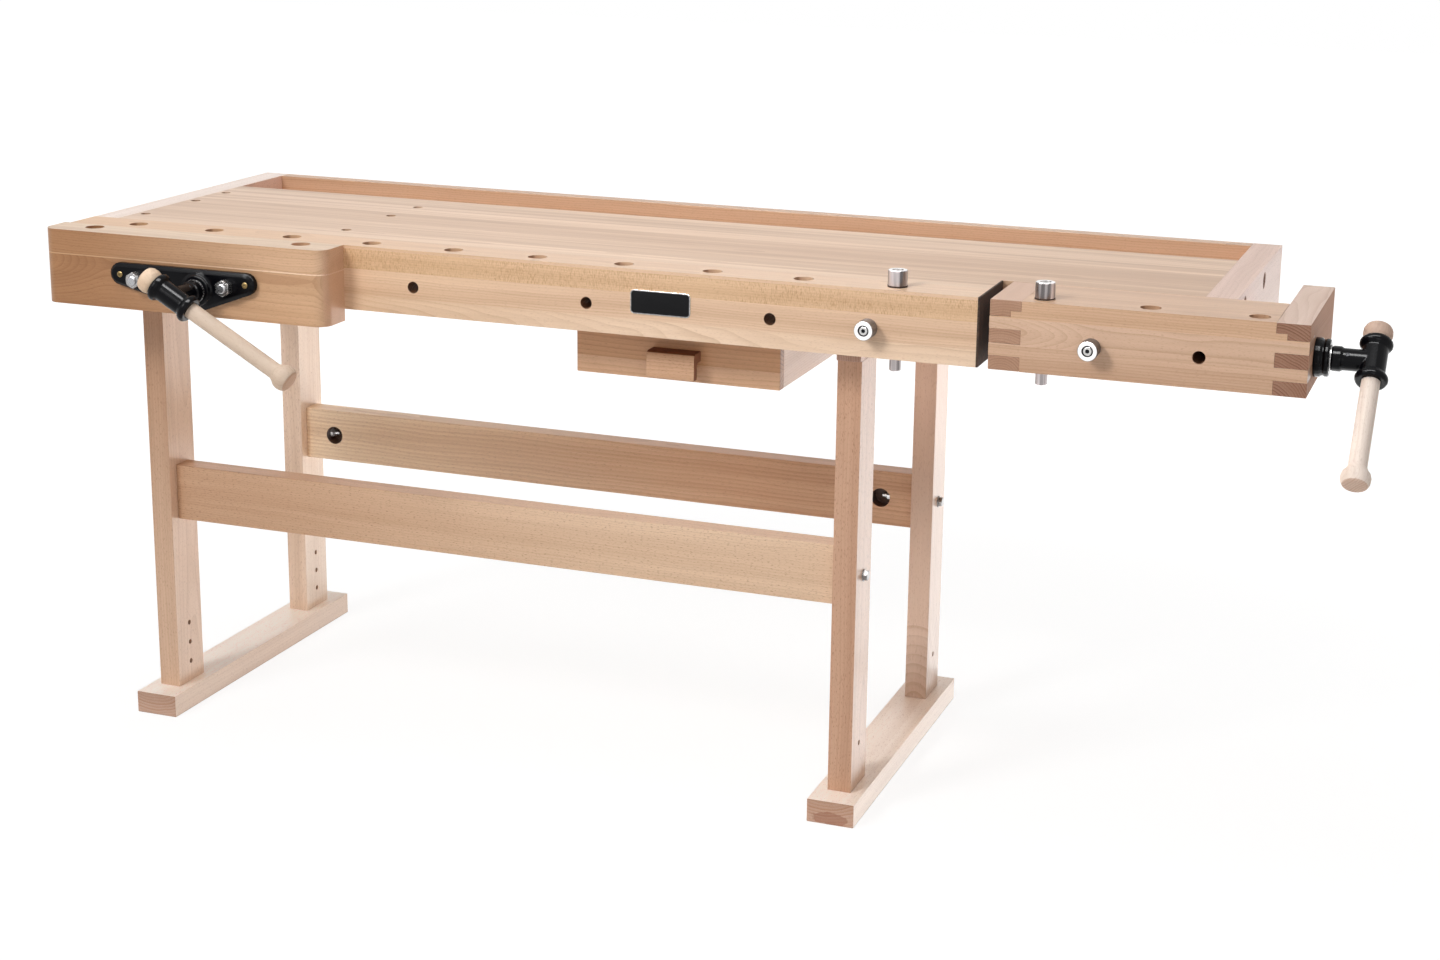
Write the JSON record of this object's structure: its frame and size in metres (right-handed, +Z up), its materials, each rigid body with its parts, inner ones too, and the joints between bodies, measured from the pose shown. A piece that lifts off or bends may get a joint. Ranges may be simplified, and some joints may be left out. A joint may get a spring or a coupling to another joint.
{
  "type": "woodworking workbench",
  "caption": "Joiner's beech workbench on a trestle base with a front vise, a tail vise, a row of dog holes with dogs, a rear tool tray and a hanging drawer.",
  "frame": {"origin": "centre of the whole bench's bounding box, on the floor", "axes": "+X along the bench towards the tail vise, +Y from the front apron to the tool tray, +Z up"},
  "size_m": [2.202, 0.8364, 0.926],
  "materials": {
    "beech": "satin",
    "handle_beech": "satin",
    "panel": "satin",
    "black_iron": "gloss",
    "steel": "satin",
    "aluminium": "satin",
    "lining": "matte"
  },
  "bodies": {
    "bench": {"foot_left": "beech", "foot_right": "beech", "leg_front_left": "beech", "leg_rear_left": "beech", "leg_front_right": "beech", "leg_rear_right": "beech", "bearer_left": "beech", "bearer_right": "beech", "stretcher_front": "beech", "stretcher_rear": "beech", "slab": "beech", "apron": "beech", "end_cap_left": "beech", "end_cap_right": "beech", "back_rail": "beech", "tray_floor": "panel", "tail_stop_block": "beech", "tail_lining": "lining", "tail_runner_guide": "beech", "tail_key": "steel", "tail_nut": "black_iron", "front_nut": "black_iron", "drawer_runner_left": "beech", "drawer_runner_right": "beech"},
    "front_vise_jaw": {"front_jaw": "beech", "front_plate": "black_iron", "front_rod_left": "steel", "front_rod_right": "steel", "front_rod_nut_left": "steel", "front_rod_nut_right": "steel", "front_tie_bar": "black_iron"},
    "front_vise_screw": {"front_screw": "steel", "front_hub": "black_iron", "front_washer": "steel"},
    "front_vise_bar": {"front_handle": "handle_beech", "front_handle_knob": "handle_beech"},
    "tail_vise_carriage": {"tail_dog_board": "beech", "tail_cheek": "beech", "tail_end_board": "beech", "tail_cap": "beech", "tail_runner": "beech", "tail_flange": "black_iron"},
    "tail_vise_screw": {"tail_screw": "steel", "tail_hub": "black_iron", "tail_washer": "steel"},
    "tail_vise_bar": {"tail_handle": "handle_beech", "tail_handle_knob": "handle_beech"},
    "tool_drawer": {"drawer_front": "beech", "drawer_side_left": "beech", "drawer_side_right": "beech", "drawer_back": "beech", "drawer_bottom": "panel", "drawer_pull": "beech"},
    "bench_dog": {"dog_top": "aluminium"},
    "apron_dog": {"dog_front": "aluminium"},
    "carriage_dog": {"tail_dog_top": "aluminium"},
    "carriage_face_dog": {"tail_dog_front": "aluminium"}
  },
  "joints": [
    {"name": "front_vise_slide", "type": "slide", "parent": "bench", "child": "front_vise_jaw", "axis": [0, -1, 0], "range_m": [0, 0.18]},
    {"name": "front_vise_turn", "type": "hinge", "parent": "front_vise_jaw", "child": "front_vise_screw", "pos_m": [-0.791, -0.39425, 0.82], "axis": [0, -1, 0], "range_deg": [0, 10800]},
    {"name": "front_bar_slide", "type": "slide", "parent": "front_vise_screw", "child": "front_vise_bar", "axis": [-0.8695, 0, 0.4939], "range_m": [0, 0.174]},
    {"name": "tail_vise_slide", "type": "slide", "parent": "bench", "child": "tail_vise_carriage", "axis": [1, 0, 0], "range_m": [-0.0156, 0.15]},
    {"name": "tail_vise_turn", "type": "hinge", "parent": "tail_vise_carriage", "child": "tail_vise_screw", "pos_m": [1.077, -0.17025, 0.838], "axis": [1, 0, 0], "range_deg": [-936, 9000]},
    {"name": "tail_bar_slide", "type": "slide", "parent": "tail_vise_screw", "child": "tail_vise_bar", "axis": [0, 0.7431, 0.6691], "range_m": [0, 0.144]},
    {"name": "drawer_slide", "type": "slide", "parent": "bench", "child": "tool_drawer", "axis": [0, -1, 0], "range_m": [0, 0.28]},
    {"name": "bench_dog_lift", "type": "slide", "parent": "bench", "child": "bench_dog", "axis": [0, 0, 1], "range_m": [-0.0257, 0.04]},
    {"name": "apron_dog_pull", "type": "slide", "parent": "bench", "child": "apron_dog", "axis": [0, -1, 0], "range_m": [0, 0.04]},
    {"name": "carriage_dog_lift", "type": "slide", "parent": "tail_vise_carriage", "child": "carriage_dog", "axis": [0, 0, 1], "range_m": [-0.0257, 0.04]},
    {"name": "carriage_face_dog_pull", "type": "slide", "parent": "tail_vise_carriage", "child": "carriage_face_dog", "axis": [0, -1, 0], "range_m": [0, 0.04]}
  ],
  "couplings": [
    {"joint": "front_vise_slide", "follows": "front_vise_turn", "m_per_rad": 0.00095492},
    {"joint": "tail_vise_slide", "follows": "tail_vise_turn", "m_per_rad": 0.00095492}
  ]
}
